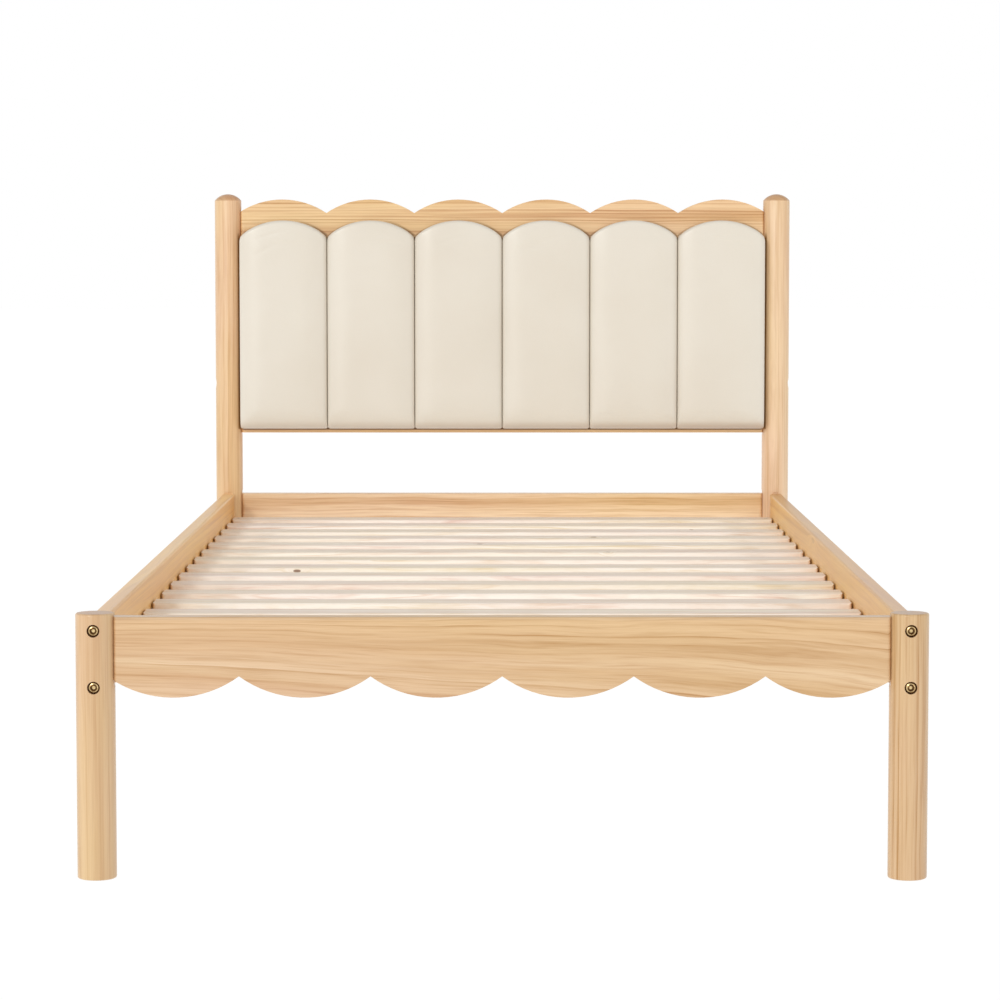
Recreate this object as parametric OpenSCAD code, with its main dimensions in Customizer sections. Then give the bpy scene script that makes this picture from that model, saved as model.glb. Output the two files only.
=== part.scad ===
// Single bed frame in solid pine with a scalloped, channel-padded headboard.
// Millimetres, +Z up. The origin is on the floor in the middle of the bed's
// footprint, the headboard stands at +Y and the foot rail at -Y.

/* [Frame] */
// Distance between the post axes across the bed
span_x = 930; // [800:10:1100]
// Distance between the post axes along the bed
span_y = 1945; // [1900:5:2100]
// Diameter of the round posts
post_d = 45; // [42:1:50]
// Height of the foot posts
foot_post_h = 306; // [304:1:340]
// Height of the head posts at the shoulder, below the dome
head_shoulder_h = 795; // [780:5:900]
// Height of the dome on the head posts
dome_h = 11; // [6:1:18]
// Depth of the flats milled into the posts where a board meets them
flat_depth = 1.0; // [1:0.1:3.5]
// Thickness of the foot rail, the head rail and the headboard panel
rail_t = 22; // [18:1:26]
// Radius of the upright edges at the ends of the boards
end_r = 5; // [2:0.5:5]

/* [Rails] */
// Height of the top edge of the foot rail
foot_rail_top = 302; // [296:1:303]
// Height of the top edge of the lower head rail
head_rail_top = 298; // [290:1:302]
// Height of the cusps between the scallops of the foot rail
foot_cusp_z = 234; // [228:1:238]
// Depth of each scallop of the foot rail
foot_scallop = 24.5; // [10:0.1:30]
// How far the row of scallops runs past the posts' flats at each end
foot_overrun = 6.8; // [0:0.1:10]
// Height of the top edge of the side rails
side_top = 298; // [290:1:299]
// Height of the side rails' boards
side_h = 90; // [80:5:95]
// Thickness of the side rails' boards
side_t = 20; // [18:1:22]
// How far the side rails' middle lies outside the line of the post axes
side_out = 0.5; // [0:0.1:1]
// Number of scallops along the foot rail and the headboard, one to each pad
scallops = 6; // [4:1:8]

/* [Headboard] */
// Height of the bottom edge of the panel
panel_z0 = 402; // [380:1:405]
// Height of the cusps between the scallops of the panel
panel_cusp_z = 774; // [770:1:780]
// Rise of each scallop of the panel
panel_scallop = 23; // [8:1:26]
// Height of the bottom edge of the pads
pad_z0 = 409; // [405:1:430]
// Height of the pads at the seams between them
pad_valley_z = 734; // [700:1:740]
// Rise of each pad's arched top
pad_rise = 27.5; // [10:0.5:40]
// Depth of the pads in front of the panel
pad_depth = 37; // [25:1:50]
// Thickness of the plywood board inside each pad
board_t = 9; // [6:1:12]
// Thickness of the leatherette cover
cover_t = 1.2; // [0.8:0.1:2]

/* [Slats] */
// Number of slats in the roll
slat_n = 16; // [16:1:16]
// Width of a slat
slat_w = 54; // [50:1:75]
// Thickness of a slat
slat_t = 14; // [12:1:18]
// Height of the slats' top faces, where the mattress lies
slat_top = 260.5; // [250:0.5:265]
// Spacing of the slats' centre lines
slat_pitch = 119.7; // [110:0.1:121]
// Gap between a slat's end and the side rail
slat_gap = 2.3; // [1:0.1:6]

/* [Fasteners] */
// Height of the upper rail bolts
bolt_z1 = 287; // [282:1:288]
// Height of the lower rail bolts
bolt_z2 = 222; // [218:1:224]
// Height of the bolts that hold the headboard panel
panel_bolt_z = 486; // [470:1:520]
// Diameter of the bolt heads
head_d = 13.6; // [12:0.1:14]

/* [Hidden] */
$fn = 64;

pine = [0.89, 0.74, 0.57];
pine_pale = [0.92, 0.86, 0.79];
beech = [0.80, 0.66, 0.50];
plywood = [0.78, 0.66, 0.48];
foam_col = [0.95, 0.93, 0.86];
cream = [0.91, 0.88, 0.81];
web_col = [0.86, 0.84, 0.80];
brass_col = [0.55, 0.42, 0.22];
zinc_col = [0.70, 0.70, 0.68];

post_r = post_d / 2;
px = span_x / 2;                       // post axis, across
py = span_y / 2;                       // post axis, along
flat_off = post_r - flat_depth;        // the flat's distance from the post axis
clear_x = 2 * (px - flat_off);         // length of the foot rail, head rail and panel
side_len = 2 * (py - flat_off);        // length of the side rails
ease = 2.5;                            // rounding of the posts' ends
foot_pitch = (clear_x + 2 * foot_overrun) / scallops;
foot_rad = (pow(foot_pitch / 2, 2) + pow(foot_scallop, 2)) / (2 * foot_scallop);
panel_pitch = (clear_x + 7) / scallops;
panel_rad = (pow(panel_pitch / 2, 2) + pow(panel_scallop, 2)) / (2 * panel_scallop);
dome_rad = (pow(post_r, 2) + pow(dome_h, 2)) / (2 * dome_h);
pad_pitch = (clear_x + 1) / scallops;
pad_w = pad_pitch - 0.6;
pad_rad = (pow(pad_w / 2, 2) + pow(pad_rise, 2)) / (2 * pad_rise);
panel_front = py - rail_t / 2;         // the panel's front face
panel_back = py + rail_t / 2;
side_x = px + side_out;                // middle of the side rails
side_in = side_x - side_t / 2;         // inner face of the side rails
slat_len = 2 * (side_in - slat_gap);
slat_z0 = slat_top - slat_t;
ledger_w = 22;
ledger_h = 25;
ledger_len = side_len - 26;
ledger_z = slat_z0 - ledger_h / 2;
strap_x = 380;
strap_w = 25;
strap_t = 1.2;
bolt_r = 3;
clear_r = 3.5;
insert_r = 5;
insert_l = 18;
dowel_r = 5;
dowel_l = 40;
dowel_z = [245, 268];
panel_dowel_z = [440, 700];
head_h = 4.6;                          // height of a bolt's head
rail_sink = 6;                         // seat depth of the rail bolts below the post's crown
panel_sink = 8;                        // seat depth of the panel bolts
ledger_screw_y = [for (i = [-3 : 3]) i * 280];
pad_screw_z = [475, 675];

// ---- shared shapes -------------------------------------------------------

// Rectangle with rounded corners, centred
module round_rect(w, h, r) {
  square([w - 2 * r, h], center = true);
  square([w, h - 2 * r], center = true);
  for (sx = [-1, 1], sy = [-1, 1])
    translate([sx * (w / 2 - r), sy * (h / 2 - r)]) circle(r);
}

// Board lying along Y with its long edges eased
module board_y(w, h, len, r) {
  rotate([90, 0, 0]) linear_extrude(height = len, center = true) round_rect(w, h, r);
}

// Board lying along X with its long edges eased
module board_x(w, h, len, r) {
  rotate([90, 0, 90]) linear_extrude(height = len, center = true) round_rect(w, h, r);
}

// Keeps what lies inside the plan of a board along X, its upright end edges rounded
module plan_x(w, len, z0, z1) {
  intersection() {
    children();
    translate([0, 0, z0]) linear_extrude(height = z1 - z0) round_rect(len, w, end_r);
  }
}

// Cylinder along X, from x0 to x1
module rod_x(r, x0, x1) {
  translate([x0, 0, 0]) rotate([0, 90, 0]) cylinder(r = r, h = x1 - x0);
}

// Cylinder along Y, from y0 to y1
module rod_y(r, y0, y1) {
  translate([0, y1, 0]) rotate([90, 0, 0]) cylinder(r = r, h = y1 - y0);
}

// Furniture bolt along +Z: seat at z = 0, low domed head with a hex socket above it,
// threaded shank below it
module bolt(len) {
  rotate_extrude() union() {
    translate([0, -len]) square([bolt_r, len + 0.5]);
    square([head_d / 2, 2.6]);
    intersection() {
      translate([0, 2.6]) square([head_d / 2, head_h]);
      translate([0, head_h - 13.2]) circle(13.2);
    }
  }
}
module bolt_cut() {
  translate([0, 0, 1.6]) cylinder(d = 6.2, h = 6, $fn = 6);
}
module socket_bolt(len) {
  difference() {
    bolt(len);
    bolt_cut();
  }
}

// Threaded insert along +Z from its face at z = 0 down to -insert_l
module insert() {
  translate([0, 0, -insert_l]) difference() {
    cylinder(r = insert_r, h = insert_l);
    translate([0, 0, -1]) cylinder(r = bolt_r, h = insert_l + 2);
  }
}

// Countersunk wood screw along +Z: the head's face at z = 0, the shank below
module wood_screw(len, r = 2, hr = 4) {
  difference() {
    union() {
      translate([0, 0, -2.4]) cylinder(r1 = r, r2 = hr, h = 2.4);
      translate([0, 0, -len + 4]) cylinder(r = r, h = len - 5);
      translate([0, 0, -len]) cylinder(r1 = 0.4, r2 = r, h = 4);
    }
    for (a = [0, 90]) rotate([0, 0, a]) translate([-2, -0.5, -1.3]) cube([4, 1, 2]);
  }
}
// The hole that such a screw sits in
module screw_hole(len, r = 2, hr = 4) {
  translate([0, 0, -2.4]) cylinder(r1 = r, r2 = hr, h = 2.4);
  translate([0, 0, -len + 4]) cylinder(r = r, h = len - 5);
  translate([0, 0, -len]) cylinder(r1 = 0.4, r2 = r, h = 4);
}

// ---- posts ---------------------------------------------------------------

// Cutter for a flat that faces +X: from z0 to z1, with a round run-out of
// radius rd below it and ru above it (0 leaves a square shoulder)
module flat_cut(z0, z1, rd, ru) {
  translate([flat_off, -post_r - 1, z0]) cube([post_r, post_d + 2, z1 - z0]);
  if (rd > 0) translate([flat_off + rd, post_r + 1, z0]) rotate([90, 0, 0]) cylinder(r = rd, h = post_d + 2);
  if (ru > 0) translate([flat_off + ru, post_r + 1, z1]) rotate([90, 0, 0]) cylinder(r = ru, h = post_d + 2);
}

// Bore for a rail bolt along Y, entering from the side at -Y
module rail_bolt_bore(z) {
  translate([0, 0, z]) {
    rod_y(clear_r, -post_r - 1, post_r + 1);
    rod_y(head_d / 2 + 0.5, -post_r - 1, -post_r + rail_sink);
  }
}

// Foot post on its own axis; the bed's middle is at +X, the side rail at +Y
module foot_post() {
  color(pine) difference() {
    rotate_extrude() union() {
      square([post_r - ease, foot_post_h]);
      translate([0, ease]) square([post_r, foot_post_h - 2 * ease]);
      translate([post_r - ease, ease]) circle(ease);
      translate([post_r - ease, foot_post_h - ease]) circle(ease);
    }
    flat_cut(foot_cusp_z - 10, foot_post_h + 5, 6, 0);
    rotate([0, 0, 90]) flat_cut(side_top - side_h - 5, side_top + 3, 0, 0);
    rail_bolt_bore(bolt_z1);
    rail_bolt_bore(bolt_z2);
    for (z = dowel_z) translate([0, 0, z]) rod_x(dowel_r, flat_off - dowel_l / 2, post_r + 2);
  }
}

// Head post on its own axis; the bed's middle is at +X, the side rail at -Y
module head_post() {
  color(pine) difference() {
    rotate_extrude() union() {
      square([post_r - ease, 10]);
      translate([0, ease]) square([post_r, head_shoulder_h - ease]);
      translate([post_r - ease, ease]) circle(ease);
      intersection() {
        translate([0, head_shoulder_h + dome_h - dome_rad]) circle(dome_rad);
        translate([0, head_shoulder_h - 1]) square([post_r, dome_h + 2]);
      }
    }
    flat_cut(panel_z0, panel_cusp_z + 3, 12, 6);
    flat_cut(head_rail_top - 98, head_rail_top + 2, 12, 12);
    rotate([0, 0, -90]) flat_cut(side_top - side_h - 5, side_top + 3, 0, 0);
    mirror([0, 1, 0]) {
      rail_bolt_bore(bolt_z1);
      rail_bolt_bore(bolt_z2);
    }
    for (z = dowel_z) translate([0, 0, z]) rod_x(dowel_r, flat_off - dowel_l / 2, post_r + 2);
    for (z = panel_dowel_z) translate([0, 0, z]) rod_x(dowel_r, flat_off - dowel_l / 2, post_r + 2);
    translate([0, 0, panel_bolt_z]) {
      rod_x(clear_r, -post_r - 1, post_r + 1);
      rod_x(9, -post_r - 1, -post_r + panel_sink);
    }
  }
}

module foot_post_left() { translate([-px, -py, 0]) foot_post(); }
module foot_post_right() { mirror([1, 0, 0]) foot_post_left(); }
module head_post_left() { translate([-px, py, 0]) head_post(); }
module head_post_right() { mirror([1, 0, 0]) head_post_left(); }

// ---- rails and panel -----------------------------------------------------

// Bores at both ends of a board along X: dowels at the heights zs
module dowel_bores(zs) {
  for (z = zs, s = [-1, 1])
    translate([s * clear_x / 2, 0, z]) rod_x(dowel_r, -dowel_l / 2, dowel_l / 2);
}

// Row of scallops that hang below the line z = 0, each a disc's lower segment
module hanging_scallops(n, pitch, rad, depth) {
  for (i = [0 : n - 1]) translate([(i - (n - 1) / 2) * pitch, 0]) intersection() {
    translate([0, rad - depth]) circle(rad, $fn = 128);
    translate([-pitch / 2, -depth - 1]) square([pitch, depth + 2]);
  }
}

module foot_rail() {
  color(pine) translate([0, -py, 0]) difference() {
    plan_x(rail_t, clear_x, 150, foot_rail_top + 10) intersection() {
      translate([0, rail_t / 2, 0]) rotate([90, 0, 0]) linear_extrude(height = rail_t) union() {
        translate([-clear_x / 2, foot_cusp_z + 0.6]) square([clear_x, foot_rail_top - foot_cusp_z - 0.6]);
        intersection() {
          translate([0, foot_cusp_z]) hanging_scallops(scallops, foot_pitch, foot_rad, foot_scallop);
          translate([-clear_x / 2, foot_cusp_z - 50]) square([clear_x, 52]);
        }
      }
      translate([0, 0, foot_rail_top - 100]) board_x(rail_t, 200, clear_x + 2, 1.5);
    }
    dowel_bores(dowel_z);
  }
}

module head_rail() {
  color(pine) translate([0, py, 0]) difference() {
    plan_x(rail_t, clear_x, 150, head_rail_top + 10)
      translate([0, 0, head_rail_top - 46.5]) board_x(rail_t, 93, clear_x + 2, 1.5);
    dowel_bores(dowel_z);
  }
}

module headboard_panel() {
  color(pine) translate([0, py, 0]) difference() {
    plan_x(rail_t, clear_x, panel_z0 - 10, panel_cusp_z + 60)
    translate([0, rail_t / 2, 0]) rotate([90, 0, 0]) linear_extrude(height = rail_t) union() {
      translate([-clear_x / 2, panel_z0]) square([clear_x, panel_cusp_z - panel_z0 - 0.6]);
      intersection() {
        translate([0, panel_cusp_z]) mirror([0, 1, 0])
          hanging_scallops(scallops, panel_pitch, panel_rad, panel_scallop);
        translate([-clear_x / 2, panel_cusp_z - 2]) square([clear_x, 52]);
      }
    }
    dowel_bores(panel_dowel_z);
    for (s = [-1, 1]) translate([s * clear_x / 2, 0, panel_bolt_z]) {
      rod_x(insert_r, -insert_l, insert_l);
      rod_x(clear_r, -40, 40);
    }
    for (i = [0 : scallops - 1], z = pad_screw_z)
      translate([(i - (scallops - 1) / 2) * pad_pitch, rail_t / 2, z])
        rotate([-90, 0, 0]) screw_hole(28);
  }
}

module side_rail() {
  color(pine) translate([-side_x, 0, side_top - side_h / 2]) difference() {
    intersection() {
      board_y(side_t, side_h, side_len, 3);
      translate([0, 0, -side_h]) linear_extrude(height = 2 * side_h) round_rect(side_t, side_len, end_r);
    }
    for (s = [-1, 1], z = [bolt_z1, bolt_z2])
      translate([side_out, s * side_len / 2, z - side_top + side_h / 2]) {
        rod_y(insert_r, -insert_l, insert_l);
        rod_y(clear_r, -40, 40);
      }
    for (y = ledger_screw_y)
      translate([side_t / 2 + ledger_w, y, ledger_z - side_top + side_h / 2])
        rotate([0, 90, 0]) screw_hole(35);
  }
}
module side_rail_left() { side_rail(); }
module side_rail_right() { mirror([1, 0, 0]) side_rail(); }

// ---- slats and what carries them -----------------------------------------

module slat_ledger() {
  color(pine_pale) difference() {
    translate([-side_in + ledger_w / 2, 0, ledger_z]) board_y(ledger_w, ledger_h, ledger_len, 1.5);
    for (y = ledger_screw_y)
      translate([-side_in + ledger_w, y, ledger_z]) rotate([0, 90, 0]) screw_hole(35);
    for (y = [slat_y(1), slat_y(slat_n)])
      translate([-side_in + ledger_w / 2, y, slat_top]) screw_hole(32);
  }
}
module slat_ledger_left() { slat_ledger(); }
module slat_ledger_right() { mirror([1, 0, 0]) slat_ledger(); }

function slat_y(i) = (i - (slat_n + 1) / 2) * slat_pitch;

// Places its child at each staple: two straps, one staple to each
module at_staples(i) {
  for (s = [-1, 1]) translate([s * strap_x, slat_y(i), slat_z0 - strap_t]) children();
}
// One staple: a crown under the strap and two legs up into the slat
module staple() {
  translate([-5, -0.6, -0.8]) cube([10, 1.2, 0.8]);
  for (s = [-1, 1]) translate([s * 4.6 - 0.4, -0.6, -0.4]) cube([0.8, 1.2, 9]);
}
module staple_legs() {
  for (s = [-1, 1]) translate([s * 4.6 - 0.4, -0.6, -0.4]) cube([0.8, 1.2, 9]);
}

module slat(i) {
  color(pine_pale) difference() {
    intersection() {
      translate([0, slat_y(i), slat_top - slat_t / 2]) board_x(slat_w, slat_t, slat_len, 2.5);
      translate([0, slat_y(i), slat_z0 - 1]) linear_extrude(height = slat_t + 2)
        round_rect(slat_len, slat_w, 4);
    }
    at_staples(i) staple_legs();
    if (i == 1 || i == slat_n) for (s = [-1, 1])
      translate([s * (side_in - ledger_w / 2), slat_y(i), slat_top]) screw_hole(32);
  }
}

module slat_strap(s) {
  color(web_col) difference() {
    translate([s * strap_x - strap_w / 2, slat_y(1) - 16, slat_z0 - strap_t])
      cube([strap_w, slat_y(slat_n) - slat_y(1) + 32, strap_t]);
    for (i = [1 : slat_n]) at_staples(i) staple_legs();
  }
}
module slat_strap_left() { slat_strap(-1); }
module slat_strap_right() { slat_strap(1); }

// ---- headboard pads ------------------------------------------------------

// Pad outline in the XZ plane, pulled in by the given inset
module pad_outline(inset) {
  w = pad_w - 2 * inset;
  r = 7 - inset;
  z0 = pad_z0 + inset;
  translate([-w / 2, z0 + r]) square([w, pad_valley_z - z0 - r]);
  translate([-w / 2 + r, z0]) square([w - 2 * r, r + 1]);
  for (s = [-1, 1]) translate([s * (w / 2 - r), z0 + r]) circle(r);
  intersection() {
    translate([0, pad_valley_z + pad_rise - pad_rad]) circle(pad_rad - inset, $fn = 128);
    translate([-w / 2, pad_valley_z - 2]) square([w, pad_rise + 4]);
  }
}
// Solid of the outline between two depths in front of the panel
module pad_slab(i, inset, y0, y1) {
  translate([(i - (scallops + 1) / 2) * pad_pitch, panel_front - y0, 0]) rotate([90, 0, 0])
    linear_extrude(height = y1 - y0) pad_outline(inset);
}
module pad_board(i) {
  color(plywood) difference() {
    pad_slab(i, cover_t, 0, board_t);
    for (z = pad_screw_z) translate([(i - (scallops + 1) / 2) * pad_pitch, panel_back, z])
      rotate([-90, 0, 0]) screw_hole(28);
  }
}
module pad_foam(i) { color(foam_col) pad_slab(i, cover_t, board_t, pad_depth - cover_t); }
module pad_cover(i) {
  color(cream) difference() {
    pad_slab(i, 0, 0, pad_depth);
    pad_slab(i, cover_t, -5, pad_depth - cover_t);
  }
}

// ---- fasteners -----------------------------------------------------------

module dowel_x() {
  rotate([0, 90, 0]) rotate_extrude() union() {
    translate([0, -dowel_l / 2 + 0.5]) square([dowel_r - 1, dowel_l - 1]);
    translate([0, -dowel_l / 2 + 1.5]) square([dowel_r, dowel_l - 3]);
  }
}
module dowels(y, zs) {
  color(beech) for (z = zs, s = [-1, 1]) translate([s * clear_x / 2, y, z]) dowel_x();
}
module foot_rail_dowels() { dowels(-py, dowel_z); }
module head_rail_dowels() { dowels(py, dowel_z); }
module panel_dowels() { dowels(py, panel_dowel_z); }

module rail_bolts_foot() {
  color(brass_col) for (s = [-1, 1], z = [bolt_z1, bolt_z2])
    translate([s * px, -py - post_r + rail_sink, z]) rotate([90, 0, 0]) rotate([0, 0, 15]) socket_bolt(70);
}
module rail_bolts_head() { mirror([0, 1, 0]) rail_bolts_foot(); }

module rail_inserts_foot() {
  color(zinc_col) for (s = [-1, 1], z = [bolt_z1, bolt_z2])
    translate([s * px, -side_len / 2, z]) rotate([90, 0, 0]) insert();
}
module rail_inserts_head() { mirror([0, 1, 0]) rail_inserts_foot(); }

module panel_bolts() {
  color(brass_col) for (s = [-1, 1])
    translate([s * (px + post_r - panel_sink), py, panel_bolt_z]) rotate([0, s * 90, 0]) socket_bolt(68);
}
module panel_inserts() {
  color(zinc_col) for (s = [-1, 1])
    translate([s * clear_x / 2, py, panel_bolt_z]) rotate([0, s * 90, 0]) insert();
}

module ledger_screws() {
  color(zinc_col) for (s = [-1, 1], y = ledger_screw_y)
    translate([s * (side_in - ledger_w), y, ledger_z]) rotate([0, -s * 90, 0]) wood_screw(35);
}
module slat_screws() {
  color(zinc_col) for (s = [-1, 1], y = [slat_y(1), slat_y(slat_n)])
    translate([s * (side_in - ledger_w / 2), y, slat_top]) wood_screw(32);
}
module strap_staples() {
  color(zinc_col) for (i = [1 : slat_n]) at_staples(i) staple();
}
module pad_screws() {
  color(zinc_col) for (i = [0 : scallops - 1], z = pad_screw_z)
    translate([(i - (scallops - 1) / 2) * pad_pitch, panel_back, z]) rotate([-90, 0, 0]) wood_screw(28);
}

// ---- assembly ------------------------------------------------------------

foot_post_left();
foot_post_right();
head_post_left();
head_post_right();
foot_rail();
head_rail();
headboard_panel();
side_rail_left();
side_rail_right();
slat_ledger_left();
slat_ledger_right();
slat(1);  // slat_01
slat(2);  // slat_02
slat(3);  // slat_03
slat(4);  // slat_04
slat(5);  // slat_05
slat(6);  // slat_06
slat(7);  // slat_07
slat(8);  // slat_08
slat(9);  // slat_09
slat(10);  // slat_10
slat(11);  // slat_11
slat(12);  // slat_12
slat(13);  // slat_13
slat(14);  // slat_14
slat(15);  // slat_15
slat(16);  // slat_16
slat_strap_left();
slat_strap_right();
pad_board(1);  // pad_board_1
pad_board(2);  // pad_board_2
pad_board(3);  // pad_board_3
pad_board(4);  // pad_board_4
pad_board(5);  // pad_board_5
pad_board(6);  // pad_board_6
pad_foam(1);  // pad_foam_1
pad_foam(2);  // pad_foam_2
pad_foam(3);  // pad_foam_3
pad_foam(4);  // pad_foam_4
pad_foam(5);  // pad_foam_5
pad_foam(6);  // pad_foam_6
pad_cover(1);  // pad_cover_1
pad_cover(2);  // pad_cover_2
pad_cover(3);  // pad_cover_3
pad_cover(4);  // pad_cover_4
pad_cover(5);  // pad_cover_5
pad_cover(6);  // pad_cover_6
foot_rail_dowels();
head_rail_dowels();
panel_dowels();
rail_bolts_foot();
rail_bolts_head();
rail_inserts_foot();
rail_inserts_head();
panel_bolts();
panel_inserts();
ledger_screws();
slat_screws();
strap_staples();
pad_screws();
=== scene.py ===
import bpy
import bmesh
import math
import random
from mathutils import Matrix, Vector, noise


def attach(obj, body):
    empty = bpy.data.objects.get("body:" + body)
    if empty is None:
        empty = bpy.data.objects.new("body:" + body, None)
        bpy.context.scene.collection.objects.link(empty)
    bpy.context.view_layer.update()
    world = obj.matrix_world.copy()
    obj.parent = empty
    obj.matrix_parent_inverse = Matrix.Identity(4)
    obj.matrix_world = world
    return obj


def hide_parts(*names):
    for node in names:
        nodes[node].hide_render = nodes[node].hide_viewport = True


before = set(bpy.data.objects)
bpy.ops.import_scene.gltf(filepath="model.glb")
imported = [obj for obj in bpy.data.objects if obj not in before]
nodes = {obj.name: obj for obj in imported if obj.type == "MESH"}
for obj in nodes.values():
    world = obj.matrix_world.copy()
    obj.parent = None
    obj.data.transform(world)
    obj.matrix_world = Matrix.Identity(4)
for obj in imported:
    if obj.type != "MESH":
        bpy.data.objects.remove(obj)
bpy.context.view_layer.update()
random.seed(7)


def lin(r, g, b):
    """sRGB 0-255 to a linear RGBA colour"""
    out = []
    for v in (r, g, b):
        v /= 255.0
        out.append(v / 12.92 if v <= 0.04045 else ((v + 0.055) / 1.055) ** 2.4)
    return (*out, 1.0)


# the pads: spacing, width, foot, height of the arches' springing, rise, depth
PITCH, PAD_W, Z0, VALLEY, RISE, DEPTH = 0.148, 0.1474, 0.409, 0.734, 0.0275, 0.037
CROWN = 0.0359    # the swell adds the rest
FRONT = 0.9615          # the panel's front face
HW = PAD_W / 2
RAD = (HW ** 2 + RISE ** 2) / (2 * RISE)


# ---------------------------------------------------------------- materials

class Mat:
    """Short hand for building a node material"""

    def __init__(self, name):
        self.m = bpy.data.materials.new(name)
        self.m.use_nodes = True
        self.t = self.m.node_tree
        self.b = self.t.nodes["Principled BSDF"]
        self.out = self.t.nodes["Material Output"]
        tc = self.node("ShaderNodeTexCoord")
        self.obj = tc.outputs["Object"]
        self.nrm = tc.outputs["Normal"]

    def node(self, kind, **props):
        n = self.t.nodes.new(kind)
        for k, v in props.items():
            setattr(n, k, v)
        return n

    def put(self, socket, value):
        if isinstance(value, bpy.types.NodeSocket):
            self.t.links.new(value, socket)
        elif value is not None:
            socket.default_value = value

    def math(self, op, a, b=None, c=None, clamp=False):
        n = self.node("ShaderNodeMath", operation=op, use_clamp=clamp)
        for s, v in zip(n.inputs, (a, b, c)):
            self.put(s, v)
        return n.outputs[0]

    def vmath(self, op, a, b=None, scale=None):
        n = self.node("ShaderNodeVectorMath", operation=op)
        self.put(n.inputs[0], a)
        self.put(n.inputs[1], b)
        if scale is not None:
            self.put(n.inputs["Scale"], scale)
        return n.outputs["Value"] if op in ("LENGTH", "DISTANCE", "DOT_PRODUCT") else n.outputs[0]

    def sep(self, v):
        n = self.node("ShaderNodeSeparateXYZ")
        self.put(n.inputs[0], v)
        return n.outputs

    def comb(self, x, y, z):
        n = self.node("ShaderNodeCombineXYZ")
        for s, v in zip(n.inputs, (x, y, z)):
            self.put(s, v)
        return n.outputs[0]

    def noise(self, vec, scale=1.0, detail=2.0, rough=0.5, distortion=0.0, dims="3D"):
        n = self.node("ShaderNodeTexNoise", noise_dimensions=dims)
        if dims == "1D":
            self.put(n.inputs["W"], vec)
        else:
            self.put(n.inputs["Vector"], vec)
        n.inputs["Scale"].default_value = scale
        n.inputs["Detail"].default_value = detail
        n.inputs["Roughness"].default_value = rough
        n.inputs["Distortion"].default_value = distortion
        return n.outputs["Fac"]

    def ramp(self, fac, stops, interp="LINEAR"):
        n = self.node("ShaderNodeValToRGB")
        e = n.color_ramp.elements
        while len(e) < len(stops):
            e.new(0.5)
        for el, (p, c) in zip(e, stops):
            el.position = p
            el.color = c if len(c) == 4 else (*c, 1.0)
        n.color_ramp.interpolation = interp
        self.put(n.inputs[0], fac)
        return n.outputs[0]

    def span(self, v, a, b, c=0.0, d=1.0, smooth=False):
        n = self.node("ShaderNodeMapRange", clamp=True)
        if smooth:
            n.interpolation_type = "SMOOTHSTEP"
        for s, x in zip(list(n.inputs)[:5], (v, a, b, c, d)):
            self.put(s, x)
        return n.outputs[0]

    def mix(self, fac, a, b, blend="MIX"):
        n = self.node("ShaderNodeMix", data_type="RGBA", blend_type=blend, clamp_factor=True)
        ins = [s for s in n.inputs if s.type == "RGBA"]
        self.put(n.inputs[0], fac)
        self.put(ins[0], a)
        self.put(ins[1], b)
        return [s for s in n.outputs if s.type == "RGBA"][0]

    def bump(self, height, strength, distance):
        n = self.node("ShaderNodeBump")
        n.inputs["Strength"].default_value = strength
        n.inputs["Distance"].default_value = distance
        self.put(n.inputs["Height"], height)
        self.put(self.b.inputs["Normal"], n.outputs[0])
        return n

    def set(self, **kw):
        for k, v in kw.items():
            self.put(self.b.inputs[k.replace("_", " ")], v)


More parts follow.
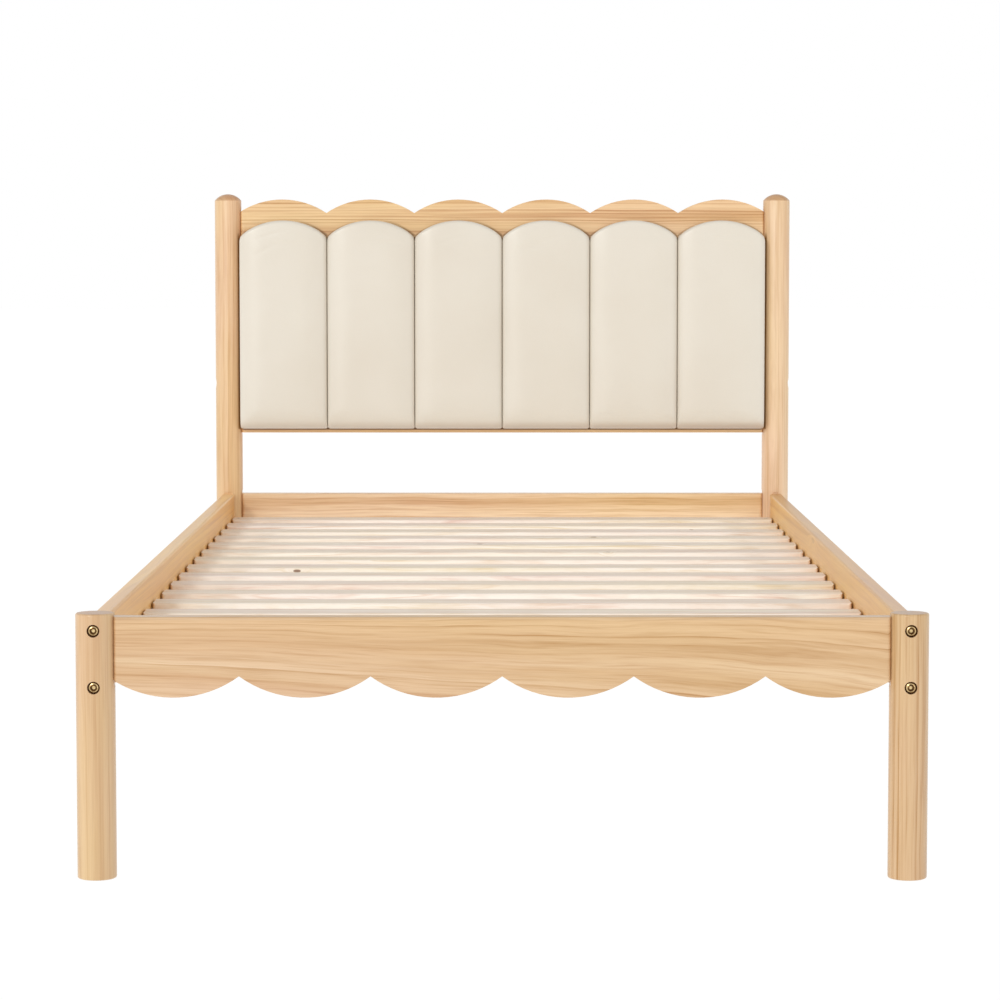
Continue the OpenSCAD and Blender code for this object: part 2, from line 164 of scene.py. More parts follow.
def wood(name, axis, centre, pith, seed, pale, mid, dark, ring=0.0120, slope=(0.0, 0.0), wob=0.010,
         line=1.0, band=1.0, dash=1.0, rough=0.32, spec=0.5, knots=(), end_dark=True, fine=1.0, bend=(), second=None, long=1.0, under=None, fan=0.0,
         end=(0.56, 0.74), coat=0.22, patch=1.0, nook_shade=False, painted_side_tone=None,
         red=1.0, heart=None, painted_top_tone=None, knot_tone=0.85):
    """Sawn or turned pine. axis is the grain's direction, centre the board's middle,
    pith how far the tree's heart lies from it across the grain, slope its run-out,
    bend (frequency, phase, v, w) slow sine bows of the grain, second (colour, w0, w1)
    the pale wood's colour on the far side of the board, long above 1 draws the figure out,
    fan makes the run-out differ from edge to edge, end is where end grain begins as a face turns
    towards the grain's direction, coat the lacquer's weight, patch the strength of the colour patches,
    drift (axis, from, to, colour, colour) painted light and shade: the piece lighter towards one side and darker
    towards the other, red how much of the heavy wood is reddish, heart (w, slope, colour) redder wood below a line
    through the middle of the board, rim (height, colour) painted light and shade on the top face above that height,
    under (height) painted shade on the panel's front below the pads and beside their arches, nook painted shade on a
    post beside the pads, knots (x, y, z, radius, length over width), knot_tone how dark they are."""
    m = Mat(name)
    p = m.vmath("SUBTRACT", m.obj, centre)
    s = m.sep(p)
    order = {"X": (0, 1, 2), "Y": (1, 0, 2), "Z": (2, 0, 1)}[axis]
    u, v, w = (s[k] for k in order)
    # slow waviness along the grain
    slow = m.comb(m.math("MULTIPLY", u, 3.0 / long), m.math("MULTIPLY", v, 8.0), m.math("MULTIPLY", w, 8.0))
    slow = m.vmath("ADD", slow, (seed * 3.17, seed * 1.93, seed * 0.71))
    n1 = m.noise(slow, 1.0, 2.0, 0.5)
    n2 = m.noise(m.vmath("ADD", slow, (7.3, 2.1, 5.5)), 1.0, 2.0, 0.5)
    dv = m.math("MULTIPLY_ADD", m.math("SUBTRACT", n1, 0.5), wob * 2, m.math("MULTIPLY", u, slope[0]))
    dw = m.math("MULTIPLY_ADD", m.math("SUBTRACT", n2, 0.5), wob * 2, m.math("MULTIPLY", u, slope[1]))
    if fan:
        dw = m.math("MULTIPLY_ADD", m.math("MULTIPLY", u, w), -fan, dw)
    for freq, phase, av, aw in bend:
        sn = m.math("SINE", m.math("MULTIPLY_ADD", u, freq, phase))
        dv = m.math("MULTIPLY_ADD", sn, av, dv)
        dw = m.math("MULTIPLY_ADD", sn, aw, dw)
    vv = m.math("ADD", m.math("SUBTRACT", v, pith[0]), dv)
    ww = m.math("ADD", m.math("SUBTRACT", w, pith[1]), dw)
    r = m.math("SQRT", m.math("ADD", m.math("MULTIPLY", vv, vv), m.math("MULTIPLY", ww, ww)))
    quick = m.comb(m.math("MULTIPLY", u, 7.0 / long), m.math("MULTIPLY", v, 60.0), m.math("MULTIPLY", w, 60.0))
    n3 = m.noise(m.vmath("ADD", quick, (seed, seed * 2.0, 3.3)), 1.0, 2.0, 0.55)
    r = m.math("MULTIPLY_ADD", m.math("SUBTRACT", n3, 0.5), 0.0050, r)
    # a knot draws the rings round itself
    knot_mask = None
    for kx, ky, kz, kr, ka in knots:
        sq = [1.0, 1.0, 1.0]
        sq[order[0]] = 1.0 / ka
        d = m.vmath("LENGTH", m.vmath("MULTIPLY", m.vmath("SUBTRACT", m.obj, (kx, ky, kz)), tuple(sq)))
        near = m.span(d, kr * 4.5, kr * 0.8, 0.0, 1.0, True)
        r = m.math("MULTIPLY_ADD", near, kr * 2.2, r)
        k = m.span(d, kr * 1.15, kr * 0.75, 0.0, 1.0, True)
        knot_mask = k if knot_mask is None else m.math("MAXIMUM", knot_mask, k)
    # every ring has its own width and strength
    ph = m.math("MULTIPLY_ADD", m.noise(m.math("MULTIPLY", r, 45.0), 1.0, 1.0, 0.5, dims="1D"), 2.2,
                m.math("DIVIDE", r, ring))
    fr = m.math("FRACT", ph)
    year = m.noise(m.math("MULTIPLY", m.math("FLOOR", ph), 7.31), 1.0, 0.0, 0.5, dims="1D")
    late = m.ramp(fr, [(0.0, (0.25, 0.25, 0.25)), (0.06, (0.02, 0.02, 0.02)), (0.50, (0.04, 0.04, 0.04)),
                       (0.78, (0.34, 0.34, 0.34)), (0.93, (1.0, 1.0, 1.0)), (1.0, (0.25, 0.25, 0.25))], "EASE")
    late = m.math("MULTIPLY", late, m.span(year, 0.30, 0.68, 0.20, 1.0))
    # it fades in and out along the board
    a = m.comb(m.math("MULTIPLY", u, 3.4 / long), m.math("MULTIPLY", r, 70.0), seed)
    a = m.noise(a, 1.0, 2.0, 0.5)
    late = m.math("MULTIPLY", late, m.span(a, 0.36, 0.66, 0.15, 1.0))
    # broad bands of warmer, heavier wood
    b = m.comb(m.math("MULTIPLY", u, 0.8), m.math("MULTIPLY", r, 42.0), seed * 1.7)
    b = m.span(m.noise(b, 1.0, 2.0, 0.5), 0.36, 0.66)
    # short dark dashes that follow the rings
    c = m.comb(m.math("MULTIPLY", u, 8.0 / long), m.math("MULTIPLY", r, 330.0), seed * 2.3)
    c = m.noise(c, 1.0, 3.0, 0.6)
    c2 = m.comb(m.math("MULTIPLY", u, 22.0 / long), m.math("MULTIPLY", r, 900.0), seed * 0.9)
    c2 = m.noise(c2, 1.0, 2.0, 0.6)
    dashes = m.math("MULTIPLY_ADD", m.span(c2, 0.46, 0.72), 0.45, m.span(c, 0.48, 0.72))
    f = m.math("MULTIPLY", late, 0.80 * line)
    f = m.math("MULTIPLY_ADD", dashes, 0.42 * dash, f)
    f = m.math("MULTIPLY_ADD", b, 0.16 * band, f, clamp=True)
    if second:
        pale = m.mix(m.span(w, second[1], second[2], 0.0, 1.0, True), pale, second[0])
    col = m.mix(m.math("MULTIPLY", b, 0.85), pale, mid)
    # some of the heavy wood is olive, some reddish
    h = m.comb(m.math("MULTIPLY", u, 1.3), m.math("MULTIPLY", r, 26.0), seed * 3.9)
    h = m.span(m.noise(h, 1.0, 1.0, 0.5), 0.38, 0.62, 0.0, red)
    dk = m.mix(h, tuple(a * b for a, b in zip(dark, (1.02, 1.0, 0.84, 1.0))),
               tuple(a * b for a, b in zip(dark, (1.02, 0.90, 0.96, 1.0))))
    col = m.mix(f, col, dk)
    # yellower and pinker patches
    q = m.comb(m.math("MULTIPLY", u, 2.6), m.math("MULTIPLY", v, 14.0), m.math("MULTIPLY", w, 14.0))
    q = m.span(m.noise(m.vmath("ADD", q, (seed, 4.4, seed * 1.3)), 1.0, 2.0, 0.5), 0.34, 0.66)
    col = m.mix(patch, col, m.mix(1.0, col, m.mix(q, (1.005, 1.022, 0.945, 1.0), (1.0, 0.972, 1.03, 1.0)), "MULTIPLY"))
    # painted light and shade: the piece is made lighter towards one side and darker towards the other
    if painted_side_tone:
        col = m.mix(1.0, col, m.mix(m.span(s[painted_side_tone[0]], painted_side_tone[1], painted_side_tone[2], 0.0, 1.0, True), *painted_side_tone[3:]), "MULTIPLY")
    if heart:
        t = m.math("MULTIPLY_ADD", m.math("ADD", u, m.math("MULTIPLY", n1, 0.06)), -heart[1], w)
        col = m.mix(m.span(t, heart[0] + 0.003, heart[0] - 0.003, 0.0, 1.0, True), col,
                    m.mix(1.0, col, heart[2], "MULTIPLY"))
    # painted light and shade on the top face above the given height
    if painted_top_tone:
        col = m.mix(m.span(m.sep(m.obj)[2], painted_top_tone[0] - 0.0012, painted_top_tone[0] + 0.0003, 0.0, 1.0, True), col,
                    m.mix(1.0, col, painted_top_tone[1], "MULTIPLY"))
    # fine fibres
    fib = m.comb(m.math("MULTIPLY", u, 16.0), m.math("MULTIPLY", v, 1000.0), m.math("MULTIPLY", w, 1000.0))
    fib = m.noise(fib, 1.0, 2.0, 0.6)
    tone = m.span(fib, 0.3, 0.7, 1.0 - 0.035 * fine, 1.0 + 0.030 * fine)
    col = m.mix(1.0, col, m.comb(tone, tone, tone), "MULTIPLY")
    if knot_mask is not None:
        col = m.mix(m.math("MULTIPLY", knot_mask, knot_tone), col, lin(122, 82, 50))
    if under:
        # painted shade: a dark band on the panel's front in the crevice right under the pads
        z = m.sep(m.obj)[2]
        front = m.span(m.sep(m.obj)[1], 0.9635, 0.9620)
        k = m.math("MULTIPLY", m.span(z, under - 0.0030, under - 0.0014, 0.0, 1.0, True), m.span(z, under + 0.002, under + 0.004, 1.0, 0.0))
        k = m.math("MULTIPLY", k, front)
        col = m.mix(k, col, m.mix(1.0, col, (0.24, 0.19, 0.14, 1.0), "MULTIPLY"))
        # and painted shadow on the panel's front beside the arches, mostly on the side away from the light
        x = m.math("SUBTRACT", m.math("WRAP", m.sep(m.obj)[0], PITCH, 0.0), PITCH / 2)
        zc = m.math("SUBTRACT", z, VALLEY + RISE - RAD)
        d = m.math("SQRT", m.math("ADD", m.math("MULTIPLY", x, x), m.math("MULTIPLY", zc, zc)))
        k = m.math("MULTIPLY", m.span(d, RAD + 0.0045, RAD + 0.0012, 0.0, 1.0, True), m.span(x, 0.015, 0.060, 0.0, 0.75))
        k2 = m.math("MULTIPLY", m.span(d, RAD + 0.0030, RAD + 0.0008, 0.0, 1.0, True), m.span(x, -0.030, -0.070, 0.0, 0.55))
        k = m.math("MULTIPLY", m.math("MAXIMUM", k, k2), m.math("MULTIPLY", front, m.span(z, 0.725, 0.729)))
        col = m.mix(k, col, m.mix(1.0, col, (0.34, 0.27, 0.18, 1.0), "MULTIPLY"))
    if nook_shade:
        # painted shade on the post in the narrow gap between it and the pad beside it
        q = m.sep(m.obj)
        k = m.math("MULTIPLY", m.span(m.math("ABSOLUTE", q[0]), 0.4488, 0.4474, 0.0, 1.0, True),
                   m.math("MULTIPLY", m.span(q[2], 0.407, 0.409), m.span(q[2], 0.742, 0.732)))
        k = m.math("MULTIPLY", k, m.span(q[1], 0.9640, 0.9625))
        col = m.mix(k, col, m.mix(1.0, col, (0.44, 0.34, 0.21, 1.0), "MULTIPLY"))
    if end_dark:
        # end grain drinks the lacquer and looks darker and redder
        n = m.sep(m.nrm)[order[0]]
        e = m.span(m.math("ABSOLUTE", n), end[0], end[1], 0.0, 1.0, True)
        col = m.mix(e, col, m.mix(1.0, col, (0.80, 0.68, 0.58, 1.0), "MULTIPLY"))
    m.set(Base_Color=col, Specular_IOR_Level=spec)
    if coat:
        m.set(Coat_Weight=coat, Coat_Roughness=0.24, Coat_IOR=1.5)
    m.set(Roughness=m.span(f, 0.0, 1.0, rough + 0.05, rough - 0.06))
    m.bump(m.math("MULTIPLY_ADD", fib, 0.5, m.math("MULTIPLY", f, -0.5)), 0.25, 0.0004)
    return m.m


PALE = lin(239, 205, 160)
MID = lin(229, 189, 137)
DARK = lin(193, 146, 95)


def stock(r, g, b):
    """The three tones of one piece of pine, paler, darker or warmer than the rest"""
    return [(min(1.0, c[0] * r), min(1.0, c[1] * g), min(1.0, c[2] * b), 1.0) for c in (PALE, MID, DARK)]



def dress(name, mat, bevel=0.0):
    """Gives a CAD node its material, smooth shading and, where wanted, eased edges"""
    o = nodes[name]
    o.data.materials.clear()
    o.data.materials.append(mat)
    for f in o.data.polygons:
        f.material_index = 0
        f.use_smooth = True
    o.data.set_sharp_from_angle(angle=math.radians(28))
    if bevel:
        b = o.modifiers.new("ease", "BEVEL")
        b.width = bevel
        b.segments = 3
        b.limit_method = "ANGLE"
        b.angle_limit = math.radians(50)
        b.harden_normals = True
    return o


# posts; some are painted lighter on one side and darker on the other, and the head posts carry painted shade beside the
# pads
for n, c, pith, seed, ring, pal, fig, painted_side_tone in (
        ("foot_post_left", (-0.465, -0.9725, 0.15), (0.240, 0.110), 1.0, 0.0090, stock(0.822, 0.818, 0.815), 0.7,
         (0, -0.020, 0.005, (1.12, 1.16, 1.20, 1.0), (0.955, 0.945, 0.93, 1.0))),
        ("foot_post_right", (0.465, -0.9725, 0.15), (-0.260, 0.060), 2.3, 0.0075, stock(0.800, 0.797, 0.785), 1.4,
         (0, -0.020, -0.004, (1.05, 1.06, 1.08, 1.0), (1.0, 1.0, 1.0, 1.0))),
        ("head_post_left", (-0.465, 0.9725, 0.40), (0.220, 0.150), 3.1, 0.0095, stock(0.98, 0.99, 1.03), 1.0,
         (0, -0.016, 0.010, (0.96, 0.95, 0.95, 1.0), (1.03, 1.03, 1.03, 1.0))),
        ("head_post_right", (0.465, 0.9725, 0.40), (-0.012, -0.048), 4.7, 0.0085, stock(1.03, 1.10, 1.27), 1.0, None)):
    dress(n, wood("pine " + n.replace("_", " "), "Z", c, pith, seed, *pal, ring, wob=0.004, long=1.6, line=fig, dash=fig,
                  end=(0.93, 0.985) if n.startswith("foot") else (0.56, 0.74), nook_shade=n.startswith("head"),
                  painted_side_tone=painted_side_tone, red=0.25 if n == "foot_post_right" else 1.0), 0.0006)

# boards across the bed
# the foot rail's top face is painted slightly darker and bluer, as painted shade
dress("foot_rail", wood("pine foot rail", "X", (0.0, -0.9725, 0.255), (0.060, -0.250), 5.2, *stock(0.860, 0.875, 0.930),
                        0.0130, slope=(0.0, 0.045), wob=0.012, fan=0.9, line=1.15, patch=0.4,
                        heart=(-0.059, -0.127, (0.965, 0.925, 0.92, 1.0)), painted_top_tone=(0.2990, (0.94, 0.96, 1.02, 1.0)),
                        second=(stock(0.815, 0.775, 0.725)[0], -0.010, 0.030)), 0.0006)
# the head rail is painted darker towards its left end, as painted shadow
dress("head_rail", wood("pine head rail", "X", (0.0, 0.9725, 0.25), (0.050, 0.200), 6.4, *stock(1.065, 1.155, 1.32),
                        0.0120, wob=0.008, line=0.9, band=0.6, patch=0.5,
                        painted_side_tone=(0, -0.45, 0.45, (0.94, 0.915, 0.89, 1.0), (1.025, 1.02, 1.0, 1.0))), 0.0006)
# the panel carries painted shade below the pads and painted shadow beside their arches
dress("headboard_panel", wood("pine headboard", "X", (0.0, 0.9725, 0.59), (0.020, -0.420), 8.9,
                              lin(246, 214, 166), *stock(0.955, 0.915, 0.825)[1:], 0.0078, wob=0.006, line=1.8,
                              dash=1.0, long=1.8, patch=0.6, under=0.409), 0.0006)
# the side rails' top faces: painted light on the left rail, painted shade on the right
for n, x, seed, pal in (("side_rail_left", -0.4655, 9.6, stock(1.165, 1.07, 0.78)),
                        ("side_rail_right", 0.4655, 11.2, stock(1.00, 0.915, 0.625))):
    kn = ((0.4555, 0.142, 0.2900, 0.0040, 6.0),) if n.endswith("right") else ()
    dress(n, wood("pine " + n.replace("_", " "), "Y", (x, 0.0, 0.253), (math.copysign(0.060, x), 0.200), seed,
                  *pal, 0.0100, slope=(0.0, 0.008), wob=0.010, knots=kn, knot_tone=0.22, long=3.0, line=0.7, dash=0.8, coat=0.10,
                  painted_top_tone=(0.2977, (0.94, 0.91, 0.95, 1.0) if n.endswith("right") else (1.01, 1.04, 1.13, 1.0))), 0.0)

# slats and ledgers
SLAT = (lin(250, 241, 228), lin(245, 234, 219), lin(226, 207, 184))
KNOTS = ((-0.2944, 0.0329, 0.2557, 0.0022, 2.6), (-0.0349, 0.4142, 0.2605, 0.0045, 1.0),
         (0.1446, 0.5384, 0.2605, 0.0050, 1.0), (0.3062, 0.6762, 0.2605, 0.0035, 1.0),
         (0.1594, 0.2790, 0.2605, 0.0030, 1.3))
kinds = []
for k in range(4):
    kinds.append(wood("pine slat %d" % (k + 1), "X", (0.0, 0.0, 0.25), (0.31 + 0.13 * k, -0.16 - 0.05 * k),
                      13.1 + 2.7 * k, *SLAT, 0.0100, wob=0.010, rough=0.6, spec=0.35, knots=KNOTS, coat=0.0,
                      patch=0.35, line=1.3, dash=1.5))
for i in range(1, 17):
    dress("slat_%02d" % i, kinds[(i * 7) % 4], 0.0)
for n in ("slat_ledger_left", "slat_ledger_right"):
    dress(n, wood("pine " + n.replace("_", " "), "Y", (0.0, 0.0, 0.23), (0.5, 0.1), 17.0 + len(n),
                  PALE, MID, DARK, 0.010, rough=0.6, spec=0.35, coat=0.0), 0.0)

# beech dowels
mb = Mat("beech")
sb = mb.sep(mb.obj)
vec = mb.comb(mb.math("MULTIPLY", sb[0], 60.0), mb.math("MULTIPLY", sb[1], 900.0), mb.math("MULTIPLY", sb[2], 900.0))
mb.set(Base_Color=mb.ramp(mb.noise(vec, 1.0, 2.0), [(0.35, lin(214, 176, 136)), (0.6, lin(198, 156, 116))]), Roughness=0.6)
for n in ("foot_rail_dowels", "head_rail_dowels", "panel_dowels"):
    dress(n, mb.m)

# plywood: plies seen from the edge
mp = Mat("birch plywood")
sp = mp.sep(mp.obj)
ply = mp.math("FRACT", mp.math("MULTIPLY", sp[1], 1 / 0.0026))
mp.set(Base_Color=mp.mix(mp.span(ply, 0.45, 0.55), lin(214, 184, 142), lin(188, 150, 106)), Roughness=0.65)

# zinc-plated hardware
mz = Mat("zinc plated steel")
nz = mz.noise(mz.obj, 900.0, 3.0)
mz.set(Base_Color=mz.ramp(nz, [(0.3, lin(176, 178, 178)), (0.7, lin(205, 206, 203))]),
       Metallic=1.0, Roughness=mz.span(nz, 0.3, 0.7, 0.28, 0.45))
for n in ("rail_inserts_foot", "rail_inserts_head", "panel_inserts", "ledger_screws", "slat_screws",
          "strap_staples", "pad_screws"):
    dress(n, mz.m)

# antique brass: dark patina in the hollows, rubbed bright between them; the dark socket wall and outer ring are partly
# patina and partly painted shadow of the socket and counterbore


def brass(name, two, c1, c2):
    """Bolts along Y stand two by two at +-c1, at the heights c2; bolts along X at (c1, c2)"""
    m = Mat(name)
    n = m.noise(m.obj, 700.0, 4.0, 0.6)
    s = m.sep(m.obj)
    if two:
        a = m.math("SUBTRACT", m.math("ABSOLUTE", s[0]), c1)
        b = m.math("MINIMUM", *(m.math("ABSOLUTE", m.math("SUBTRACT", s[2], z)) for z in c2))
    else:
        a, b = m.math("SUBTRACT", s[1], c1), m.math("SUBTRACT", s[2], c2)
    r = m.math("SQRT", m.math("ADD", m.math("MULTIPLY", a, a), m.math("MULTIPLY", b, b)))
    r = m.math("MULTIPLY_ADD", m.math("SUBTRACT", n, 0.5), 0.0008, r)
    patina_and_shade = m.ramp(n, [(0.30, lin(72, 47, 23)), (0.62, lin(106, 74, 41))])
    new = m.ramp(n, [(0.30, lin(196, 166, 112)), (0.62, lin(232, 208, 158))])
    # r in units of 8 mm: socket floor, socket wall, crown, rim
    k = m.ramp(m.math("DIVIDE", r, 0.008), [(0.19, (1.0,) * 3), (0.28, (0.0,) * 3), (0.49, (0.0,) * 3),
                                            (0.55, (1.0,) * 3), (0.62, (0.85,) * 3), (0.69, (0.0,) * 3)])
    m.set(Base_Color=m.mix(k, patina_and_shade, new), Metallic=1.0, Roughness=m.span(n, 0.3, 0.7, 0.22, 0.38))
    return m.m


rail_brass = brass("antique brass rail bolts", True, 0.465, (0.287, 0.222))
for n in ("rail_bolts_foot", "rail_bolts_head"):
    dress(n, rail_brass, 0.0)
dress("panel_bolts", brass("antique brass panel bolts", False, 0.9725, 0.486), 0.0)

# webbing: woven cotton-coloured tape
mw = Mat("webbing")
sw = mw.sep(mw.obj)
wa = mw.math("SINE", mw.math("MULTIPLY", sw[0], math.tau / 0.0022))
wb = mw.math("SINE", mw.math("MULTIPLY", sw[1], math.tau / 0.0022))
wv = mw.math("MULTIPLY", wa, wb)
mw.set(Base_Color=mw.mix(mw.span(wv, -1.0, 1.0), lin(214, 208, 194), lin(236, 232, 222)), Roughness=0.9)
mw.bump(wv, 0.4, 0.0004)


def webbing(side):
    """Tape stapled under every slat: it runs flat under them and hangs a little between them"""
    bm = bmesh.new()
    y0, y1, top = -0.9138, 0.9138, 0.24652
    slat = [(i - 8.5) * 0.1197 for i in range(1, 17)]
    rows = []
    n = 620
    for k in range(n + 1):
        y = y0 + (y1 - y0) * k / n
        gap = min(abs(y - c) for c in slat)
        sag = 0.0
        if gap > 0.0275:
            sag = 0.0022 * math.sin(math.pi * (gap - 0.0275) / (0.05985 - 0.0275) / 2) ** 1.3
        if min(y - y0, y1 - y) < 0.010:
            sag = 0.0
        rows.append((y, top - sag))
    prof = []
    for a in range(13):
        x = -0.0125 + 0.025 * a / 12
        # the woven edges are a little thicker than the middle
        prof.append((x, 0.00042 + 0.00014 * math.exp(-((0.0125 - abs(x)) / 0.0016) ** 2)))
    ring = [(x, t) for x, t in prof] + [(x, -t) for x, t in reversed(prof)]
    prev = None
    first = None
    for y, z in rows:
        cur = [bm.verts.new((side * 0.380 + x, y, z - 0.0006 + t)) for x, t in ring]
        if prev:
            for a in range(len(ring)):
                b = (a + 1) % len(ring)
                bm.faces.new((prev[a], prev[b], cur[b], cur[a]))
        else:
            first = cur
        prev = cur
    bm.faces.new(first)
    bm.faces.new(prev)
    bmesh.ops.recalc_face_normals(bm, faces=bm.faces)
    name = "webbing_left" if side < 0 else "webbing_right"
    me = bpy.data.meshes.new(name)
    bm.to_mesh(me)
    bm.free()
    me.materials.append(mw.m)
    for f in me.polygons:
        f.use_smooth = True
    me.set_sharp_from_angle(angle=math.radians(50))
    o = bpy.data.objects.new(name, me)
    bpy.context.scene.collection.objects.link(o)
    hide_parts("slat_strap_left" if side < 0 else "slat_strap_right")
    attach(o, "root")


webbing(-1)
webbing(1)

# ---------------------------------------------------------------- headboard pads

def top_z(x):
    return VALLEY + RISE - RAD + math.sqrt(RAD * RAD - x * x)


def roll(d, r):
    """Quarter round: 1 at the edge, 0 from r inwards"""
    q = max(0.0, 1 - max(0.0, d) / r)
    return 1 - math.sqrt(max(0.0, 1 - q * q))


def pad_mesh(name):
    """Pad as a grid: flat in the middle, crowned towards its edges, rolled under at the foot"""
    nx, nz = 56, 120
    bm = bmesh.new()

    def spread(t):
        # denser towards both edges
        return t - 0.115 * math.sin(2 * math.pi * t)

    front = {}
    for i in range(nx + 1):
        x0 = -HW + 2 * HW * spread(i / nx)
        zt = top_z(x0)
        for j in range(nz + 1):
            x, z = x0, Z0 + (zt - Z0) * spread(j / nz)
            dx, dz = HW - abs(x), z - Z0
            dt = (zt - z) * math.cos(math.atan2(abs(x), RAD))
            side = 0.0066 * roll(dx, 0.0078) + 0.0060 * max(0.0, 1 - dx / 0.042) ** 2
            foot = 0.0250 * roll(dz, 0.034) + 0.0020 * max(0.0, 1 - dz / 0.070) ** 2
            top = 0.0048 * roll(dt, 0.0056) + 0.0036 * max(0.0, 1 - dt / 0.045) ** 2
            drop = (side ** 1.7 + foot ** 1.7 + top ** 1.7) ** (1 / 1.7)
            y = FRONT - max(0.0045, CROWN - drop)
            # the lower corners are rounded
            a, b = 0.0035 - dx, 0.0035 - dz
            if a > 0 and b > 0:
                k = max(a, b) / math.hypot(a, b)
                x = math.copysign(HW - 0.0035 + a * k, x)
                z = Z0 + 0.0035 - b * k
            # the seam opens a little at its upper end
            t = (z - (VALLEY - 0.008)) / 0.008
            if t > 0:
                x = math.copysign(abs(x) - 0.0016 * min(1.0, t) ** 1.5 * max(0.0, 1 - dx / 0.012), x)
            front[i, j] = bm.verts.new((x, y, z))
    ring = [(i, 0) for i in range(nx)] + [(nx, j) for j in range(nz)] + \
           [(i, nz) for i in range(nx, 0, -1)] + [(0, j) for j in range(nz, 0, -1)]
    steps = 3
    lev = []
    for s in range(1, steps + 1):
        row = []
        for k in ring:
            v = front[k]
            yb = FRONT - 0.0001
            row.append(bm.verts.new((v.co.x, v.co.y + (yb - v.co.y) * s / steps, v.co.z)))
        lev.append(row)
    for i in range(nx):
        for j in range(nz):
            bm.faces.new((front[i, j], front[i + 1, j], front[i + 1, j + 1], front[i, j + 1]))
    prev = [front[k] for k in ring]
    for row in lev:
        for a in range(len(ring)):
            b = (a + 1) % len(ring)
            bm.faces.new((prev[a], row[a], row[b], prev[b]))
        prev = row
    bm.faces.new(prev)
    bmesh.ops.recalc_face_normals(bm, faces=bm.faces)
    me = bpy.data.meshes.new(name)
    bm.to_mesh(me)
    bm.free()
    return me


def swell(me):
    """Blows the pad up as cloth, with its back edge held, and caps how far it moves"""
    start = [v.co.copy() for v in me.vertices]
    o = bpy.data.objects.new("pad_swell", me)
    bpy.context.scene.collection.objects.link(o)
    pin = o.vertex_groups.new(name="pin")
    for v in me.vertices:
        back = FRONT - v.co.y
        pin.add([v.index], 1.0 if back < 0.012 else max(0.0, min(1.0, (0.022 - back) / 0.010)) * 0.6, "REPLACE")
    c = o.modifiers.new("cloth", "CLOTH")
    s = c.settings
    s.quality = 5
    s.mass = 0.35
    s.tension_stiffness = 25
    s.compression_stiffness = 25
    s.shear_stiffness = 12
    s.bending_stiffness = 2.0
    s.use_pressure = True
    s.uniform_pressure_force = 0.6
    s.vertex_group_mass = "pin"
    s.pin_stiffness = 1.0
    s.effector_weights.gravity = 0.0
    c.collision_settings.use_collision = False
    c.collision_settings.use_self_collision = False
    sc = bpy.context.scene
    for f in range(1, 9):
        sc.frame_set(f)
    dg = bpy.context.evaluated_depsgraph_get()
    ev = o.evaluated_get(dg).to_mesh()
    moved = [v.co.copy() for v in ev.vertices]
    o.evaluated_get(dg).to_mesh_clear()
    bpy.data.objects.remove(o)
    sc.frame_set(1)
    for v, a, b in zip(me.vertices, start, moved):
        d = b - a
        if d.length > 0.002:
            d *= 0.002 / d.length
        q = a + d
        # stays between its neighbours, in front of the panel and inside its own depth
        q.x = max(-HW, min(HW, q.x))
        q.y = max(FRONT - DEPTH + 0.0004, min(FRONT - 0.0001, q.y))
        q.z = max(Z0, min(top_z(q.x), q.z))
        v.co = q
    me.update()
    return me


base = pad_mesh("pad")
base = swell(base)

# leatherette: cream, faint pebble, with painted shade where it turns away at the foot of the pad
ml = Mat("cream leatherette")
cell = ml.node("ShaderNodeTexVoronoi", feature="F1")
cell.inputs["Scale"].default_value = 620.0
ml.put(cell.inputs["Vector"], ml.obj)
cloud = ml.noise(ml.obj, 9.0, 3.0, 0.5)
peb = ml.noise(ml.obj, 1400.0, 2.0, 0.6)
col = ml.ramp(cloud, [(0.30, lin(223, 215, 200)), (0.70, lin(226, 219, 205))])
tone = ml.span(cell.outputs["Distance"], 0.0, 0.7, 1.0, 0.985)
col = ml.mix(1.0, col, ml.comb(tone, tone, tone), "MULTIPLY")
# painted shade: darker and warmer towards the foot of the pad where it turns under, more so to the right
sl = ml.sep(ml.obj)
foot_shade = ml.math("MULTIPLY", ml.span(sl[2], Z0 + 0.017, Z0 + 0.001, 0.0, 1.0, True), ml.span(sl[0], -0.45, 0.45, 0.25, 1.0))
col = ml.mix(foot_shade, col, ml.mix(1.0, col, (0.76, 0.66, 0.60, 1.0), "MULTIPLY"))
ml.set(Base_Color=col, Roughness=ml.span(cloud, 0.3, 0.7, 0.28, 0.34), Specular_IOR_Level=0.5)
ml.set(Sheen_Weight=0.05, Sheen_Roughness=0.5)
ml.bump(ml.math("MULTIPLY_ADD", peb, 0.5, cell.outputs["Distance"]), 0.18, 0.00025)

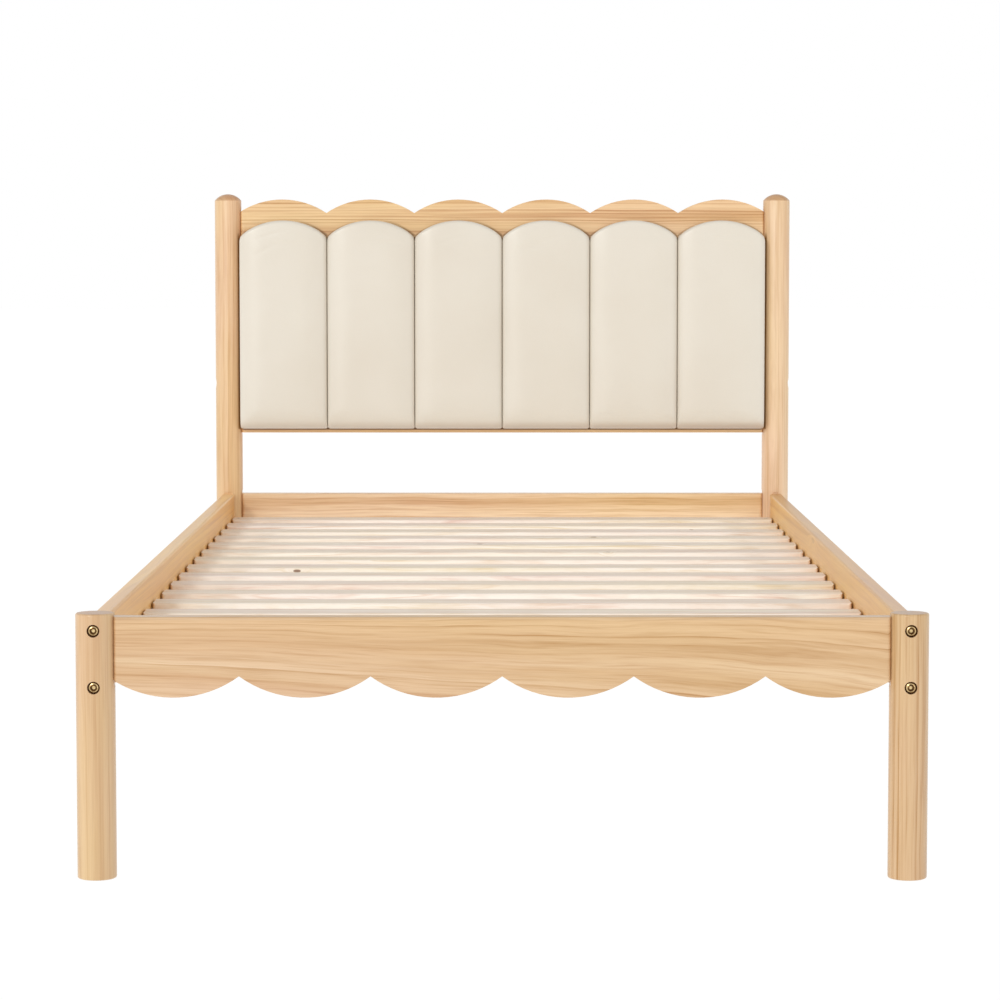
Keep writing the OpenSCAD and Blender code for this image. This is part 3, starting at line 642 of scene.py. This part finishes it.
creases = {
    1: [(-0.020, 0.738, 0.045, 0.10, 0.0006), (0.012, 0.722, 0.050, -0.18, 0.0005), (-0.030, 0.712, 0.030, 0.25, 0.0004)],
    2: [(0.035, 0.724, 0.030, -0.35, 0.0007), (0.010, 0.735, 0.035, 0.1, 0.0003)],
    3: [(-0.015, 0.728, 0.040, 0.12, 0.0004)],
    4: [(-0.020, 0.716, 0.045, -0.10, 0.0007), (0.005, 0.730, 0.050, 0.15, 0.0006), (0.030, 0.706, 0.028, 0.4, 0.0004)],
    5: [(0.030, 0.735, 0.025, -0.3, 0.0004)],
    6: [(-0.010, 0.732, 0.050, 0.05, 0.0005), (0.034, 0.722, 0.026, -0.45, 0.0006)],
}
for i in range(1, 7):
    me = base.copy()
    me.name = "pad_%d" % i
    for v in me.vertices:
        x, y, z = v.co
        inner = min(1.0, max(0.0, (HW - abs(x)) / 0.02)) * min(1.0, max(0.0, (z - Z0) / 0.02)) \
            * min(1.0, max(0.0, (top_z(max(-HW, min(HW, x))) - z) / 0.018))
        if FRONT - y > 0.02:
            n = noise.noise(Vector((x * 16 + i * 9.1, i * 3.3, z * 11)))
            dy = 0.0007 * n * inner
            for cx, cz, ln, sl, amp in creases[i]:
                a = (x - cx) / ln
                if abs(a) < 1:
                    b = (z - cz - sl * (x - cx) - 0.004 * math.sin(a * 2.5)) / 0.0035
                    dy += amp * math.exp(-b * b) * (1 - a * a) ** 2 * inner
            v.co.y = min(FRONT - 0.0001, max(FRONT - DEPTH + 0.0002, y + dy))
        v.co.x += (i - 3.5) * PITCH
    me.materials.append(ml.m)
    for f in me.polygons:
        f.use_smooth = True
    o = bpy.data.objects.new("pad_%d" % i, me)
    bpy.context.scene.collection.objects.link(o)
    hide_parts("pad_cover_%d" % i, "pad_foam_%d" % i)
    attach(o, "root")
    dress("pad_board_%d" % i, mp.m)

# ---------------------------------------------------------------- studio

sc = bpy.context.scene
sc.view_settings.view_transform = "Standard"
sc.view_settings.look = "None"

me = bpy.data.meshes.new("floor")
me.from_pydata([(-30, -30, 0), (30, -30, 0), (30, 30, 0), (-30, 30, 0)], [], [(0, 1, 2, 3)])
floor = bpy.data.objects.new("floor", me)
sc.collection.objects.link(floor)
mf = Mat("white studio floor")
mf.set(Base_Color=(0.06, 0.06, 0.06, 1.0), Roughness=0.9, Specular_IOR_Level=0.0,
       Emission_Color=(1.0, 1.0, 1.0, 1.0), Emission_Strength=0.97)
me.materials.append(mf.m)

world = bpy.data.worlds.new("studio")
sc.world = world
world.use_nodes = True
wt = world.node_tree
bg = wt.nodes["Background"]
tc = wt.nodes.new("ShaderNodeTexCoord")
sx = wt.nodes.new("ShaderNodeSeparateXYZ")
rp = wt.nodes.new("ShaderNodeValToRGB")
wt.links.new(tc.outputs["Generated"], sx.inputs[0])
wt.links.new(sx.outputs[2], rp.inputs[0])
e = rp.color_ramp.elements
e[0].position, e[0].color = 0.10, (1.17, 1.17, 1.17, 1.0)
e[1].position, e[1].color = 0.75, (0.60, 0.60, 0.61, 1.0)
wt.links.new(rp.outputs[0], bg.inputs["Color"])
bg.inputs["Strength"].default_value = 0.855


key = bpy.data.lights.new("key", "SUN")
key.energy = 0.62
key.angle = math.radians(8.0)
ko = bpy.data.objects.new("key", key)
ko.rotation_euler = (Vector((0, 0, 0)) - Vector((-0.45, -0.80, 0.46))).to_track_quat("-Z", "Y").to_euler()
sc.collection.objects.link(ko)

strip = bpy.data.lights.new("strip", "AREA")
strip.shape = "RECTANGLE"
strip.size, strip.size_y = 1.45, 8.4
strip.energy = 290.0
so = bpy.data.objects.new("strip", strip)
so.location = (-5.3, -14.1, 3.2)
so.rotation_euler = (Vector((0.0, 0.0, 0.55)) - so.location).to_track_quat("-Z", "Y").to_euler()
sc.collection.objects.link(so)

fill = bpy.data.lights.new("fill", "AREA")
fill.shape = "RECTANGLE"
fill.size, fill.size_y = 2.4, 8.4
fill.energy = 80.0
fo = bpy.data.objects.new("fill", fill)
fo.location = (8.6, -12.4, 3.0)
fo.rotation_euler = (Vector((0.0, 0.0, 0.55)) - fo.location).to_track_quat("-Z", "Y").to_euler()
sc.collection.objects.link(fo)

top = bpy.data.lights.new("top", "AREA")
top.shape = "RECTANGLE"
top.size, top.size_y = 1.2, 1.0
top.spread = math.radians(62.0)
top.energy = 0.7
to = bpy.data.objects.new("top", top)
to.location = (0.0, -0.45, 2.6)
sc.collection.objects.link(to)

cd = bpy.data.cameras.new("camera")
cd.sensor_width = 36.0
cd.sensor_fit = "HORIZONTAL"
cd.lens = 3432.5 * 36.0 / 1000.0
cd.clip_end = 100.0
cam = bpy.data.objects.new("camera", cd)
cam.location = (0.0, -4.8706, 0.7334)
cam.rotation_euler = (math.radians(90.0 - 4.379), 0.0, math.atan(2.2 / 3432.5))
sc.collection.objects.link(cam)
sc.camera = cam
